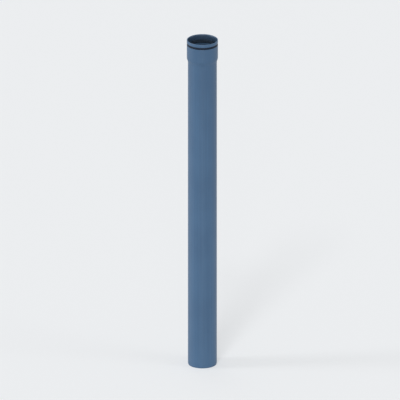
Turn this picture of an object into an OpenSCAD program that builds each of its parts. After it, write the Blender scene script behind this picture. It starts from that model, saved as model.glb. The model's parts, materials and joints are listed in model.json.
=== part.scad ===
// Polypropylene sewer pipe with a plain spigot at its foot and a push-fit socket at its top.
// The pipe stands on its spigot, with its axis on Z and its foot at Z = 0.

/* [Barrel] */
// Outside diameter of the barrel
pipe_od = 125; // [110:1:160]
// Wall thickness of the barrel
pipe_wall = 4.2; // [3.2:0.1:6]
// Length over all, from the spigot's end to the mouth
total_len = 1500; // [500:10:3000]

/* [Spigot] */
// Length of the lead-in chamfer on the spigot's end
chamfer_len = 6; // [3:0.5:9]
// Angle of that chamfer to the pipe's axis
chamfer_angle = 15; // [10:1:18]
// Rounding of the spigot's cut edges
cut_round = 0.4; // [0.1:0.1:0.6]

/* [Socket] */
// Clearance all round between a spigot and the socket's bore
spigot_gap = 0.5; // [0.3:0.05:1]
// Wall thickness of the socket
socket_wall = 4.3; // [3.8:0.1:6]
// Depth of the straight socket below the mouth
socket_depth = 78; // [60:1:120]
// Length of the S-shaped taper between the socket and the barrel
taper_len = 28; // [20:1:50]
// Rounding of the mouth's outer edge
mouth_round = 1.4; // [0.6:0.1:1.8]
// Length of the lead-in inside the mouth
lead_in_len = 4; // [2:0.5:8]
// How much the lead-in widens the mouth all round
lead_in_flare = 1.2; // [0.4:0.1:1.6]

/* [Groove round the socket] */
// Height of the collar between the mouth and the groove
collar_height = 13; // [8:0.5:18]
// Height of the groove
groove_height = 10; // [5:0.5:12]
// Depth of the groove
groove_depth = 2; // [1.7:0.1:2.4]
// Rounding of the groove's two outer edges
groove_round = 0.6; // [0.2:0.1:0.8]
// How far the ring's face lies below the socket's outside
ring_recess = 0.8; // [0.3:0.05:1.1]
// Rounding of the ring's face edges
ring_round = 0.5; // [0.2:0.1:0.7]

/* [Seal] */
// Height of the web between the groove and the seal's chamber
web_height = 2; // [1.5:0.5:6]
// Height of the seal's chamber
chamber_height = 14; // [10:0.5:20]
// Depth of the chamber behind the socket's bore
chamber_depth = 2.4; // [1.8:0.1:2.8]
// Height of the seal's head, which joins its two lips
head_height = 5; // [3:0.5:8]
// How far the pushed-back inner lip stands into the bore
lip_proud = 0.2; // [0:0.05:0.25]
// Width of the slot between the two lips
lip_slot = 0.8; // [0.4:0.1:1.2]
// Clearance round the rubber in its groove or chamber
rubber_gap = 0.1; // [0.05:0.05:0.3]

/* [Hidden] */
$fn = 180;

pipe_color = [0.31, 0.42, 0.55];
rubber_color = [0.06, 0.06, 0.07];
corner_steps = 4;
taper_steps = 8;

// Radii
pipe_r = pipe_od / 2;
bore_r = pipe_r - pipe_wall;
spigot_tip_r = pipe_r - chamfer_len * tan(chamfer_angle);
socket_bore_r = pipe_r + spigot_gap;
socket_r = socket_bore_r + socket_wall;
groove_r = socket_r - groove_depth;
chamber_r = socket_bore_r + chamber_depth;

// Heights, from the mouth down to the taper's foot
lead_in_z = total_len - lead_in_len;
groove_top_z = total_len - collar_height;
groove_foot_z = groove_top_z - groove_height;
chamber_top_z = groove_foot_z - web_height;
chamber_foot_z = chamber_top_z - chamber_height;
taper_top_z = total_len - socket_depth;
taper_foot_z = taper_top_z - taper_len;

function unit(v) = v / norm(v);

function turned(p, angle) = [p.x * cos(angle) - p.y * sin(angle), p.x * sin(angle) + p.y * cos(angle)];

// The arc that rounds corner b, between its neighbours a and c
function corner_arc(a, b, c, rounding) =
    let (
        to_a = unit(a - b),
        to_c = unit(c - b),
        half = acos(to_a * to_c) / 2,
        centre = b + unit(to_a + to_c) * rounding / sin(half),
        first = b + to_a * rounding / tan(half) - centre,
        last = b + to_c * rounding / tan(half) - centre,
        sweep = sign(cross(first, last)) * (180 - 2 * half)
    )
    [for (i = [0 : corner_steps]) centre + turned(first, sweep * i / corner_steps)];

// An outline from corners given as [radius, height, rounding]
function rounded_outline(corners) =
    let (
        last = len(corners) - 1,
        points = [for (c = corners) [c[0], c[1]]]
    )
    [
        for (i = [0 : last])
            let (
                before = points[i == 0 ? last : i - 1],
                after = points[i == last ? 0 : i + 1],
                rounding = corners[i][2]
            )
            each rounding > 0 ? corner_arc(before, points[i], after, rounding) : [points[i]]
    ];

// Two equal arcs, tangent to the axis at both ends, as sharp corners of an outline
function s_curve(from_r, from_z, to_r, to_z) =
    let (
        step_r = (to_r - from_r) / 2,
        step_z = (to_z - from_z) / 2,
        turn = 2 * atan(abs(step_r / step_z)),
        out = sign(step_r) * abs(step_z) / sin(turn),
        up = step_z / sin(turn)
    )
    concat(
        [
            for (i = [0 : taper_steps])
                let (t = turn * i / taper_steps)
                [from_r + out * (1 - cos(t)), from_z + up * sin(t), 0]
        ],
        [
            for (i = [taper_steps - 1 : -1 : 0])
                let (t = turn * i / taper_steps)
                [to_r - out * (1 - cos(t)), to_z - up * sin(t), 0]
        ]
    );

// One wall from the spigot's cut end to the rolled mouth and back down the bore
module socket_pipe() {
    outside = concat(
        [
            [bore_r, 0, cut_round],
            [spigot_tip_r, 0, cut_round],
            [pipe_r, chamfer_len, cut_round]
        ],
        s_curve(pipe_r, taper_foot_z, socket_r, taper_top_z),
        [
            [socket_r, groove_foot_z, groove_round],
            [groove_r, groove_foot_z, 0],
            [groove_r, groove_top_z, 0],
            [socket_r, groove_top_z, groove_round],
            [socket_r, total_len, mouth_round]
        ]
    );
    inside = concat(
        [
            [socket_bore_r + lead_in_flare, total_len, cut_round],
            [socket_bore_r, lead_in_z, 0],
            [socket_bore_r, chamber_top_z, 0],
            [chamber_r, chamber_top_z, 0],
            [chamber_r, chamber_foot_z, 0],
            [socket_bore_r, chamber_foot_z, 0]
        ],
        s_curve(socket_bore_r, taper_top_z, bore_r, taper_foot_z)
    );
    color(pipe_color)
        rotate_extrude()
            polygon(rounded_outline(concat(outside, inside)));
}

// Black rubber seal in its chamber, with its inner lip pushed back as a spigot leaves it
module lip_seal() {
    seal_r = chamber_r - rubber_gap;
    lip_r = socket_bore_r - lip_proud;
    lip_wall = (seal_r - lip_r - lip_slot) / 2;
    head_top_z = chamber_top_z - rubber_gap;
    head_foot_z = head_top_z - head_height;
    lip_tip_z = chamber_foot_z + rubber_gap;
    color(rubber_color)
        rotate_extrude()
            polygon(rounded_outline([
                [seal_r, chamber_foot_z, 0],
                [seal_r, head_top_z, lip_wall / 2],
                [lip_r, head_top_z, lip_wall],
                [lip_r, lip_tip_z, lip_wall / 3],
                [lip_r + lip_wall, lip_tip_z, lip_wall / 3],
                [lip_r + lip_wall, head_foot_z, 0],
                [seal_r - lip_wall, head_foot_z, 0],
                [seal_r - lip_wall, chamber_foot_z, 0]
            ]));
}

// Black rubber ring that fills the groove round the socket
module groove_ring() {
    ring_inner_r = groove_r + rubber_gap;
    ring_outer_r = socket_r - ring_recess;
    ring_top_z = groove_top_z - rubber_gap;
    color(rubber_color)
        rotate_extrude()
            polygon(rounded_outline([
                [ring_inner_r, groove_foot_z, 0],
                [ring_outer_r, groove_foot_z, ring_round],
                [ring_outer_r, ring_top_z, ring_round],
                [ring_inner_r, ring_top_z, 0]
            ]));
}

socket_pipe();
lip_seal();
groove_ring();
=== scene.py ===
import json
import math

import bpy
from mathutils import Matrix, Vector


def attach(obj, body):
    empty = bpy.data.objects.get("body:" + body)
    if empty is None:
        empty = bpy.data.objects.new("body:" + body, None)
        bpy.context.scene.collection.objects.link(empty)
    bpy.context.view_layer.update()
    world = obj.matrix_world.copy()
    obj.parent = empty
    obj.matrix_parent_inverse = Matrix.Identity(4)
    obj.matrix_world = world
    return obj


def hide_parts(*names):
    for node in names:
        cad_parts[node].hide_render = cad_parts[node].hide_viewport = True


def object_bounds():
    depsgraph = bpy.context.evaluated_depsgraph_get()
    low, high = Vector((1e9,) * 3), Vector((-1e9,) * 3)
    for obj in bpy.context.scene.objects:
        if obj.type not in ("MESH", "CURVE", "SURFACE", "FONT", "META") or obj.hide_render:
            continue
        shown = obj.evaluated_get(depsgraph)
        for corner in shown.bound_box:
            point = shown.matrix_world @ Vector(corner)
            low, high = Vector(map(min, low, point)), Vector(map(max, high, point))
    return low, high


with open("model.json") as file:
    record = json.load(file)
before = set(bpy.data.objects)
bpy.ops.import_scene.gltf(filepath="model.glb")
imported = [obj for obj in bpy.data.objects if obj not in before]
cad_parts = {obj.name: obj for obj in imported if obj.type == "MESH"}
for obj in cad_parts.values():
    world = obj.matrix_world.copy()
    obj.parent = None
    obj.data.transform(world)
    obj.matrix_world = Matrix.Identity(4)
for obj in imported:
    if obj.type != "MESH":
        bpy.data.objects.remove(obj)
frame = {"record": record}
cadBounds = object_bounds()
mounts = {mount["name"]: mount["dims"] for mount in frame["record"]["mounts"]}
mm = 0.001
print("frame loaded")


# camera: parallel view, from a little above

cameraView = {
    "elevation": 21.2,  # degrees above the floor
    "metresPerPixel": 4.32 * mm,
    "imagePixels": 400,
    "axisRight": 2.41,  # pixels that the pipe's axis stands right of the middle
    "middleBelow": 1.48,  # pixels that the pipe's middle lies below the middle
    "distance": 6.0,
    "farEnd": 60.0,
}


def placeCamera():
    low, high = cadBounds
    middle = (Vector(low) + Vector(high)) / 2
    tilt = math.radians(cameraView["elevation"])
    back = Vector((0, -math.cos(tilt), math.sin(tilt)))
    up = Vector((0, math.sin(tilt), math.cos(tilt)))
    right = Vector((1, 0, 0))
    pixel = cameraView["metresPerPixel"]
    shift = up * cameraView["middleBelow"] - right * cameraView["axisRight"]
    data = bpy.data.cameras.new("photoCamera")
    data.type = "ORTHO"
    data.ortho_scale = pixel * cameraView["imagePixels"]
    data.clip_end = cameraView["farEnd"]
    camera = bpy.data.objects.new("photoCamera", data)
    camera.location = middle + shift * pixel + back * cameraView["distance"]
    camera.rotation_euler = (math.pi / 2 - tilt, 0, 0)
    bpy.context.scene.collection.objects.link(camera)
    bpy.context.scene.camera = camera
    print("camera placed")


# modelling by rings: a circle is added, then extruded and resized from ring to ring

modelling = {
    "segments": 256,  # round every piece
    "mergeWithin": 0.001 * mm,
    "ringWithin": 0.005 * mm,  # how far off a ring its points may lie
    "arcProfile": 0.5,  # a bevel that is round
    "smoothAngle": math.radians(35),  # sharper edges stay sharp
}


def turnPiece(name, outline):
    bpy.ops.object.select_all(action="DESELECT")
    radius, height = outline[0]
    bpy.ops.mesh.primitive_circle_add(
        vertices=modelling["segments"], radius=radius, location=(0, 0, height), fill_type="NOTHING"
    )
    piece = bpy.context.object
    piece.name = name
    piece.data.name = name
    bpy.ops.object.transform_apply(location=True, rotation=True, scale=True)
    bpy.ops.object.mode_set(mode="EDIT")
    bpy.ops.mesh.select_mode(type="EDGE")
    bpy.ops.mesh.select_all(action="SELECT")
    for toRadius, toHeight in outline[1:] + outline[:1]:
        rise = (0, 0, toHeight - height)
        bpy.ops.mesh.extrude_region_move(TRANSFORM_OT_translate={"value": rise})
        grow = toRadius / radius
        bpy.ops.transform.resize(value=(grow, grow, 1), center_override=(0, 0, toHeight))
        radius, height = toRadius, toHeight
    bpy.ops.mesh.select_all(action="SELECT")
    bpy.ops.mesh.remove_doubles(threshold=modelling["mergeWithin"])  # the last ring is on the first
    bpy.ops.mesh.normals_make_consistent(inside=False)
    bpy.ops.object.mode_set(mode="OBJECT")
    return piece


def roundRing(piece, ring, width, steps):
    radius, height = ring
    within = modelling["ringWithin"]
    bpy.ops.object.mode_set(mode="EDIT")
    bpy.ops.mesh.select_mode(type="EDGE")
    bpy.ops.mesh.select_all(action="DESELECT")
    bpy.ops.object.mode_set(mode="OBJECT")
    onRing = [
        abs(math.hypot(v.co.x, v.co.y) - radius) < within and abs(v.co.z - height) < within
        for v in piece.data.vertices
    ]
    for edge in piece.data.edges:
        edge.select = onRing[edge.vertices[0]] and onRing[edge.vertices[1]]
    bpy.ops.object.mode_set(mode="EDIT")
    bpy.ops.mesh.bevel(
        offset=width,
        offset_type="OFFSET",
        segments=steps,
        profile=modelling["arcProfile"],
        affect="EDGES",
    )
    bpy.ops.object.mode_set(mode="OBJECT")


def finishPiece(piece, node, finish):
    bpy.ops.object.select_all(action="DESELECT")
    piece.select_set(True)
    bpy.context.view_layer.objects.active = piece
    bpy.ops.object.shade_smooth_by_angle(angle=modelling["smoothAngle"])
    piece.data.materials.clear()
    piece.data.materials.append(finish)
    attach(piece, "root")
    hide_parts(node)
    print(piece.name, "made with", len(piece.data.polygons), "faces")


# two equal arcs that leave and meet the walls without a corner
def sCurve(fromRing, toRing, steps):
    fromR, fromZ = fromRing
    toR, toZ = toRing
    halfR, halfZ = (toR - fromR) / 2, (toZ - fromZ) / 2
    turn = 2 * math.atan(abs(halfR / halfZ))
    out = math.copysign(abs(halfZ) / math.sin(turn), halfR)
    up = halfZ / math.sin(turn)
    moves = []
    for i in range(steps + 1):
        angle = turn * i / steps
        moves.append((out * (1 - math.cos(angle)), up * math.sin(angle)))
    first = [(fromR + moveR, fromZ + moveZ) for moveR, moveZ in moves]
    second = [(toR - moveR, toZ - moveZ) for moveR, moveZ in reversed(moves[:-1])]
    return first + second


# shader maths: a socket that adds its own nodes

mixSockets = {"factor": 0, "first": 6, "second": 7, "result": 2}  # of a Mix node set to colour


class Shade:
    def __init__(self, tree, socket=None):
        self.tree = tree
        self.socket = socket

    def node(self, kind, settings=None, sockets=None, out=0):
        made = self.tree.nodes.new(kind)
        for name, value in (settings or {}).items():
            setattr(made, name, value)
        for name, value in (sockets or {}).items():
            if isinstance(value, Shade):
                self.tree.links.new(value.socket, made.inputs[name])
            else:
                made.inputs[name].default_value = value
        return Shade(self.tree, made.outputs[out]) if made.outputs else None

    def math(self, operation, first, second=0.0):
        return self.node("ShaderNodeMath", {"operation": operation}, {0: first, 1: second})

    def __add__(self, other):
        return self.math("ADD", self, other)

    __radd__ = __add__

    def __sub__(self, other):
        return self.math("SUBTRACT", self, other)

    def __rsub__(self, other):
        return self.math("SUBTRACT", other, self)

    def __mul__(self, other):
        return self.math("MULTIPLY", self, other)

    __rmul__ = __mul__

    def fade(self, low, high):  # 0 below low, 1 above high, smooth between
        ends = {"Value": self, "From Min": low, "From Max": high}
        return self.node("ShaderNodeMapRange", {"interpolation_type": "SMOOTHSTEP"}, ends)

    def near(self, value, reach):  # 1 at the value, 0 at reach away from it
        return 1 - self.math("ABSOLUTE", self - value).fade(0.0, reach)

    def noise(self, place, perMetre, detail):
        spread = self.node("ShaderNodeMapping", None, {"Vector": place, "Scale": perMetre})
        sockets = {"Vector": spread, "Scale": 1.0, "Detail": detail}
        return self.node("ShaderNodeTexNoise", None, sockets)

    def tint(self, factor, first, second):
        ends = {"factor": factor, "first": first, "second": second}
        sockets = {mixSockets[end]: value for end, value in ends.items()}
        return self.node("ShaderNodeMix", {"data_type": "RGBA"}, sockets, mixSockets["result"])

    def weigh(self, marks, weights):
        first, *rest = [weight * marks[name] for name, weight in weights.items()]
        return sum(rest, first)

    def raised(self, marks, relief):  # relief in millimetres
        sockets = {"Strength": 1.0, "Distance": mm, "Height": self.weigh(marks, relief)}
        return self.node("ShaderNodeBump", None, sockets)


def newFinish(name):
    finish = bpy.data.materials.new(name)
    finish.use_nodes = True
    finish.node_tree.nodes.clear()
    return finish, Shade(finish.node_tree)


def closeFinish(shade, surface):
    shade.node("ShaderNodeOutputMaterial", None, {"Surface": surface})


# the pipe: spigot, barrel, taper and socket in one wall

pipe = {
    "bore": mounts["waterway"]["r_mm"] * mm,
    "outside": mounts["spigot"]["r_mm"] * mm,
    "socketBore": mounts["socket"]["r_mm"] * mm,
    "mouth": cadBounds[1][2],
    "socketWall": 4.3 * mm,
    "chamferLength": 6 * mm,
    "chamferAngle": math.radians(15),
    "socketDepth": 78 * mm,
    "taperLength": 28 * mm,
    "taperSteps": 10,
    "leadIn": 4 * mm,
    "leadInFlare": 1.2 * mm,
    "collar": 13 * mm,
    "grooveHeight": 10 * mm,
    "grooveDepth": 2 * mm,
    "web": 2 * mm,
    "chamberHeight": 14 * mm,
    "chamberDepth": 2.4 * mm,
    "holdAway": 4 * mm,  # rings that keep the long walls flat beside a rounded edge
    "cutRound": 0.4 * mm,
    "grooveRound": 0.6 * mm,
    "edgeSteps": 4,
    "mouthRound": 1.4 * mm,
    "mouthSteps": 6,
}
mouth = pipe["mouth"]
socketR = pipe["socketBore"] + pipe["socketWall"]
grooveTop = mouth - pipe["collar"]
grooveFoot = grooveTop - pipe["grooveHeight"]
grooveR = socketR - pipe["grooveDepth"]
chamberTop = grooveFoot - pipe["web"]
chamberFoot = chamberTop - pipe["chamberHeight"]
chamberR = pipe["socketBore"] + pipe["chamberDepth"]
taperTop = mouth - pipe["socketDepth"]
taperFoot = taperTop - pipe["taperLength"]


def makePipe(finish):
    hold = pipe["holdAway"]
    bore, outside, socketBore = pipe["bore"], pipe["outside"], pipe["socketBore"]
    tip = outside - pipe["chamferLength"] * math.tan(pipe["chamferAngle"])
    footInner, footOuter = (bore, 0), (tip, 0)
    chamferEnd = (outside, pipe["chamferLength"])
    grooveEdges = [(socketR, grooveFoot), (socketR, grooveTop)]
    mouthOuter, mouthInner = (socketR, mouth), (socketBore + pipe["leadInFlare"], mouth)
    leadInEnd = (socketBore, mouth - pipe["leadIn"])
    outline = [footInner, footOuter, chamferEnd]  # from the foot up the outside
    outline += [(outside, chamferEnd[1] + hold), (outside, taperFoot - hold)]
    outline += sCurve((outside, taperFoot), (socketR, taperTop), pipe["taperSteps"])
    outline += [(socketR, taperTop + hold), (socketR, grooveFoot - hold), grooveEdges[0]]
    outline += [(grooveR, grooveFoot), (grooveR, grooveTop), grooveEdges[1]]
    outline += [(socketR, grooveTop + hold), (socketR, mouth - hold), mouthOuter]
    outline += [mouthInner, leadInEnd]  # and down the inside
    outline += [(socketBore, leadInEnd[1] - hold), (socketBore, chamberTop)]
    outline += [(chamberR, chamberTop), (chamberR, chamberFoot)]
    outline += [(socketBore, chamberFoot), (socketBore, taperTop + hold)]
    outline += sCurve((socketBore, taperTop), (bore, taperFoot), pipe["taperSteps"])
    outline += [(bore, taperFoot - hold), (bore, hold)]
    piece = turnPiece("socketPipe", outline)
    for ring in (footInner, footOuter, chamferEnd, mouthInner, leadInEnd):
        roundRing(piece, ring, pipe["cutRound"], pipe["edgeSteps"])
    for ring in grooveEdges:
        roundRing(piece, ring, pipe["grooveRound"], pipe["edgeSteps"])
    roundRing(piece, mouthOuter, pipe["mouthRound"], pipe["mouthSteps"])
    finishPiece(piece, "socket_pipe", finish)


# satin blue polypropylene: drawn lengthwise, a little cloudy, rubbed where it is handled, with
# painted light and shade inside the socket and painted light towards the foot

plasticLook = {
    "deepBlue": (0.0361, 0.0922, 0.179, 1),
    "paleBlue": (0.0457, 0.1108, 0.207, 1),
    "chalkAndPaintedLightBlue": (0.150, 0.235, 0.340, 1),  # plastic rubbed pale, and painted light on the socket's inside
    "paintedShadeBlue": (0.028, 0.054, 0.098, 1),  # painted shade: the socket's inside above the seal made darker, where shade falls in the mouth
    "clouds": ((7, 7, 5), 2),  # spots per metre along X, Y and Z, and detail, as for all six
    "streaks": ((170, 170, 1.3), 3),
    "grain": ((900, 900, 700), 2),
    "scratches": ((700, 700, 9), 1),
    "patches": ((11, 11, 6), 3),
    "forming": ((5, 5, 240), 2),
    "turningPitch": 0.8 * mm,  # rings that the chamfering tool leaves
    "turnedShare": 0.8,  # of the chamfer, before they fade
    "cutReach": 2.2 * mm,  # how far wear spreads from the cut ends
    "edgeReach": 1.1 * mm,  # and from the edges of the chamfer and the groove
    "cloudShare": 0.55,  # the streaks make up the rest of the tone
    "paintedLightToFoot": 0.12,  # painted light from the floor: the tone is this much deeper at the mouth than at the foot, paler towards the foot
    "toneLimits": (0.30, 0.60),
    "handledLimits": (0.48, 0.66),
    "scratchLimits": (0.66, 0.74),
    "wornLimits": (0.42, 0.62),
    "leastWear": 0.35,  # on edges outside the handled patches
    "paintedLightCover": 0.3,  # painted light: the socket's inside made paler from the taper up, to light the wall below the seal
    # painted shade on the socket's inside above the seal
    "paintedShadeCover": 0.78,
    "scratchCover": 0.18,
    "rubbedCover": 0.25,
    "roughness": 0.39,
    "roughens": {"grain": 0.05, "streaks": 0.06, "scratches": 0.10, "rubbed": 0.10},
    "relief": {  # in millimetres
        "grain": 0.010,
        "streaks": 0.030,
        "forming": 0.016,
        "turning": 0.010,
        "scratches": -0.008,
    },
}


def wornEdges(height, around):
    cutReach, edgeReach = plasticLook["cutReach"], plasticLook["edgeReach"]
    cutEnds = height.near(mouth, cutReach) + height.near(0.0, cutReach)
    chamferEdge = height.near(pipe["chamferLength"], edgeReach)
    chamferEdge = chamferEdge * around.fade(pipe["bore"], pipe["outside"])
    grooveEdges = height.near(grooveFoot, edgeReach) + height.near(grooveTop, edgeReach)
    grooveEdges = grooveEdges * around.fade(pipe["socketBore"], socketR)
    return cutEnds + chamferEdge + grooveEdges


def plasticFinish():
    look = plasticLook
    chamfer, socketBore = pipe["chamferLength"], pipe["socketBore"]
    finish, shade = newFinish("bluePolypropylene")
    place = shade.node("ShaderNodeTexCoord", out="Object")
    height = shade.node("ShaderNodeSeparateXYZ", None, {"Vector": place}, "Z")
    # distance from the axis
    level = shade.node("ShaderNodeVectorMath", {"operation": "MULTIPLY"}, {0: place, 1: (1, 1, 0)})
    around = shade.node("ShaderNodeVectorMath", {"operation": "LENGTH"}, {0: level}, "Value")
    clouds = shade.noise(place, *look["clouds"])
    streaks = shade.noise(place, *look["streaks"])
    grain = shade.noise(place, *look["grain"])
    handled = shade.noise(place, *look["patches"]).fade(*look["handledLimits"])
    scratches = shade.noise(place, *look["scratches"]).fade(*look["scratchLimits"]) * handled
    forming = shade.noise(place, *look["forming"]) * height.fade(taperFoot, taperTop)
    wear = look["leastWear"] + (1 - look["leastWear"]) * handled
    rubbed = wornEdges(height, around) * grain.fade(*look["wornLimits"]) * wear
    onChamfer = 1 - height.fade(look["turnedShare"] * chamfer, chamfer)
    turning = shade.math("SINE", height * (math.tau / look["turningPitch"])) * onChamfer
    inSocket = 1 - around.fade(socketBore, socketBore + pipe["leadInFlare"])
    # painted light on the socket's inside, from the taper up
    paintedLightInSocket = inSocket * height.fade(taperTop, chamberFoot)
    # painted shade: from the seal up to the mouth, on the inside
    paintedShadeAboveSeal = paintedLightInSocket * height.fade(chamberFoot, chamberTop)
    tone = look["cloudShare"] * clouds + (1 - look["cloudShare"]) * streaks
    # painted light: paler towards the foot
    tone = tone - look["paintedLightToFoot"] * height.fade(0.0, mouth)
    colour = shade.tint(tone.fade(*look["toneLimits"]), look["deepBlue"], look["paleBlue"])
    # painted light inside the socket
    colour = shade.tint(look["paintedLightCover"] * paintedLightInSocket, colour, look["chalkAndPaintedLightBlue"])
    # painted shade inside the mouth, above the seal
    colour = shade.tint(look["paintedShadeCover"] * paintedShadeAboveSeal, colour, look["paintedShadeBlue"])
    colour = shade.tint(look["scratchCover"] * scratches, colour, look["chalkAndPaintedLightBlue"])
    colour = shade.tint(look["rubbedCover"] * rubbed, colour, look["chalkAndPaintedLightBlue"])
    marks = {"grain": grain, "streaks": streaks, "forming": forming, "turning": turning}
    marks.update({"scratches": scratches, "rubbed": rubbed})
    sockets = {
        "Base Color": colour,
        "Roughness": shade.weigh(marks, look["roughens"]) + look["roughness"],
        "Normal": shade.raised(marks, look["relief"]),
    }
    closeFinish(shade, shade.node("ShaderNodeBsdfPrincipled", None, sockets))
    print("plastic mixed")
    return finish


# the seal: a head in the chamber, a wiper towards the mouth and a lip that leans into the bore

seal = {
    "gap": 0.1 * mm,
    "edgeRound": 0.25 * mm,
    "edgeSteps": 3,
    "legThick": 1.2 * mm,
    "corners": {  # reach into the bore and depth below the mouth
        "wiperRoot": (0.15 * mm, 25.1 * mm),
        "wiperBack": (0.3 * mm, 23.5 * mm),
        "wiperTip": (1.1 * mm, 23.2 * mm),
        "throat": (0.8 * mm, 26.8 * mm),
        "lipTip": (2.1 * mm, 36.8 * mm),
        "lipUnder": (1.6 * mm, 37.4 * mm),
        "lipRoot": (0.2 * mm, 30.4 * mm),
        "slotRoot": (-0.8 * mm, 30.2 * mm),  # the slot behind the lip
    },
}


def makeSeal(finish):
    back = chamberR - seal["gap"]
    footOuter = (back, chamberFoot)
    headEdge = (back, chamberTop - seal["gap"])
    footInner = (back - seal["legThick"], footOuter[1])
    corners = {}
    for name, (reach, depth) in seal["corners"].items():
        corners[name] = (pipe["socketBore"] - reach, mouth - depth)
    outline = [footOuter, headEdge, *corners.values(), footInner]
    piece = turnPiece("lipSeal", outline)
    for ring in outline:
        if ring not in (footOuter, corners["wiperRoot"]):  # these two stay sharp
            roundRing(piece, ring, seal["edgeRound"], seal["edgeSteps"])
    finishPiece(piece, "lip_seal", finish)


# the ring that fills the groove round the socket, with the fine flash of its mould at mid height

grooveBand = {
    "gap": 0.1 * mm,
    "recess": 0.8 * mm,
    "edgeRound": 0.5 * mm,
    "edgeSteps": 4,
    "flashHeight": 0.12 * mm,
    "flashWidth": 0.5 * mm,
}


def makeGrooveRing(finish):
    inner = grooveR + grooveBand["gap"]
    outer = socketR - grooveBand["recess"]
    top = grooveTop - grooveBand["gap"]
    middle = (grooveFoot + top) / 2
    half = grooveBand["flashWidth"] / 2
    footEdge, topEdge = (outer, grooveFoot), (outer, top)
    flashTip = (outer + grooveBand["flashHeight"], middle)
    flash = [(outer, middle - half), flashTip, (outer, middle + half)]
    outline = [(inner, grooveFoot), footEdge] + flash + [topEdge, (inner, top)]
    piece = turnPiece("grooveRing", outline)
    for ring in (footEdge, topEdge):
        roundRing(piece, ring, grooveBand["edgeRound"], grooveBand["edgeSteps"])
    finishPiece(piece, "groove_ring", finish)


# blue-black rubber, with a paler bloom in patches and the fine lines of its mould

rubberLooks = {
    "greasedPaintedLightRubber": {  # the seal comes with a film of grease, which gives its gloss; its colours are painted light, lighter than the ring's rubber to stand in for light on the seal inside the mouth
        "black": (0.0225, 0.0375, 0.0580, 1),
        "bloom": (0.0360, 0.0545, 0.0800, 1),
        "roughness": 0.40,
        "specular": 0.42,
    },
    "dryRubber": {
        "black": (0.0050, 0.0110, 0.0230, 1),
        "bloom": (0.0105, 0.0185, 0.0340, 1),
        "roughness": 0.50,
        "specular": 0.18,
    },
}
rubberTexture = {
    "talc": (0.075, 0.075, 0.075, 1),
    "patches": ((45, 45, 90), 3),  # spots per metre along X, Y and Z, and detail, as for all three
    "mottle": ((700, 700, 700), 2),
    "lines": ((20, 20, 1900), 1),
    "bloomLimits": (0.40, 0.70),
    "talcLimits": (0.66, 0.76),
    "talcCover": 0.5,
    "roughens": {"mottle": 0.14, "bloom": 0.08},
    "relief": {"mottle": 0.010, "lines": 0.014},  # in millimetres
}


def rubberFinish(name):
    look = {**rubberTexture, **rubberLooks[name]}
    finish, shade = newFinish(name)
    place = shade.node("ShaderNodeTexCoord", out="Object")
    bloom = shade.noise(place, *look["patches"]).fade(*look["bloomLimits"])
    mottle = shade.noise(place, *look["mottle"])
    lines = shade.noise(place, *look["lines"])
    talc = mottle.fade(*look["talcLimits"]) * bloom
    colour = shade.tint(bloom, look["black"], look["bloom"])
    colour = shade.tint(look["talcCover"] * talc, colour, look["talc"])
    marks = {"mottle": mottle, "bloom": bloom, "lines": lines}
    sockets = {
        "Base Color": colour,
        "Roughness": shade.weigh(marks, look["roughens"]) + look["roughness"],
        "Normal": shade.raised(marks, look["relief"]),
        "Specular IOR Level": look["specular"],
    }
    closeFinish(shade, shade.node("ShaderNodeBsdfPrincipled", None, sockets))
    print(name, "mixed")
    return finish


# floor and light: a pale floor, an even sky and eight broad lamps

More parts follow.
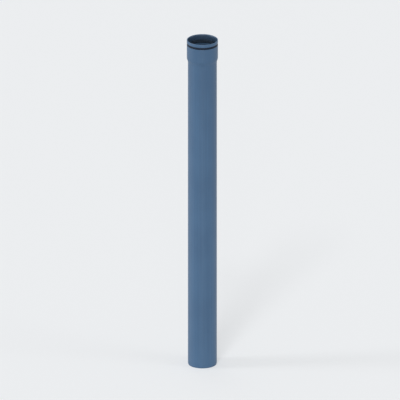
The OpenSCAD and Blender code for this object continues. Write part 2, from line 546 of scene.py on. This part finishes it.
studio = {
    "floorColour": (0.925, 0.942, 0.960, 1),
    "backdrop": (0.842, 0.858, 0.874, 1),
    "floorGlow": (0.828, 0.844, 0.860, 1),
    "glowShare": 0.5,  # how much of the floor, as it is seen, keeps an even level
    "floorRoughness": 0.9,
    "floorSpecular": 0.0,
    "floorSize": 24.0,
    "sky": (0.44, 0.44, 0.44, 1),
    "lamps": [  # name, degrees left of the camera, degrees up, strength, degrees wide
        ("keyLamp", 17.3, 44, 0.52, 9),
        ("keyHighLamp", 9.5, 53, 0.445, 9),
        ("frontLamp", 0, 6, 0.66, 14),
        ("leftLowLamp", 85, 6, 0.90, 10),
        ("leftHighLamp", 87, 42, 0.41, 14),
        ("rightLowLamp", -76, 6, 0.26, 10),
        ("rightHighLamp", -70, 44, 0.21, 20),
        ("backTopLamp", 164, 76, 0.17, 15),
    ],
}


def seenRays(shade):
    seen = 0.0
    for ray in ("Is Camera Ray", "Is Glossy Ray", "Is Transmission Ray"):
        seen = shade.math("MAXIMUM", shade.node("ShaderNodeLightPath", out=ray), seen)
    return seen


def makeFloor():
    bpy.ops.object.select_all(action="DESELECT")
    bpy.ops.mesh.primitive_plane_add(size=studio["floorSize"], location=(0, 0, 0))
    floor = bpy.context.object
    floor.name = "floor"
    finish, shade = newFinish("paleFloor")
    sockets = {
        "Base Color": studio["floorColour"],
        "Roughness": studio["floorRoughness"],
        "Specular IOR Level": studio["floorSpecular"],
    }
    lit = shade.node("ShaderNodeBsdfPrincipled", None, sockets)
    glow = shade.node("ShaderNodeEmission", None, {"Color": studio["floorGlow"]})
    share = studio["glowShare"] * seenRays(shade)
    closeFinish(shade, shade.node("ShaderNodeMixShader", None, {0: share, 1: lit, 2: glow}))
    floor.data.materials.append(finish)


def makeLamps():
    for name, left, up, strength, wide in studio["lamps"]:
        data = bpy.data.lights.new(name, "SUN")
        data.energy = strength
        data.angle = math.radians(wide)
        lamp = bpy.data.objects.new(name, data)
        lamp.rotation_euler = (math.radians(90 - up), 0, math.radians(-left))
        bpy.context.scene.collection.objects.link(lamp)


def makeSky():
    world = bpy.data.worlds.new("studioSky")
    world.use_nodes = True
    world.node_tree.nodes.clear()
    shade = Shade(world.node_tree)
    colour = shade.tint(seenRays(shade), studio["sky"], studio["backdrop"])
    light = shade.node("ShaderNodeBackground", None, {"Color": colour})
    shade.node("ShaderNodeOutputWorld", None, {"Surface": light})
    bpy.context.scene.world = world


placeCamera()
makePipe(plasticFinish())
# the seal's rubber is lighter than the ring's as painted light inside the mouth
makeSeal(rubberFinish("greasedPaintedLightRubber"))
makeGrooveRing(rubberFinish("dryRubber"))
makeFloor()
makeLamps()
makeSky()
bpy.context.scene.view_settings.view_transform = "Standard"
print("studio ready")
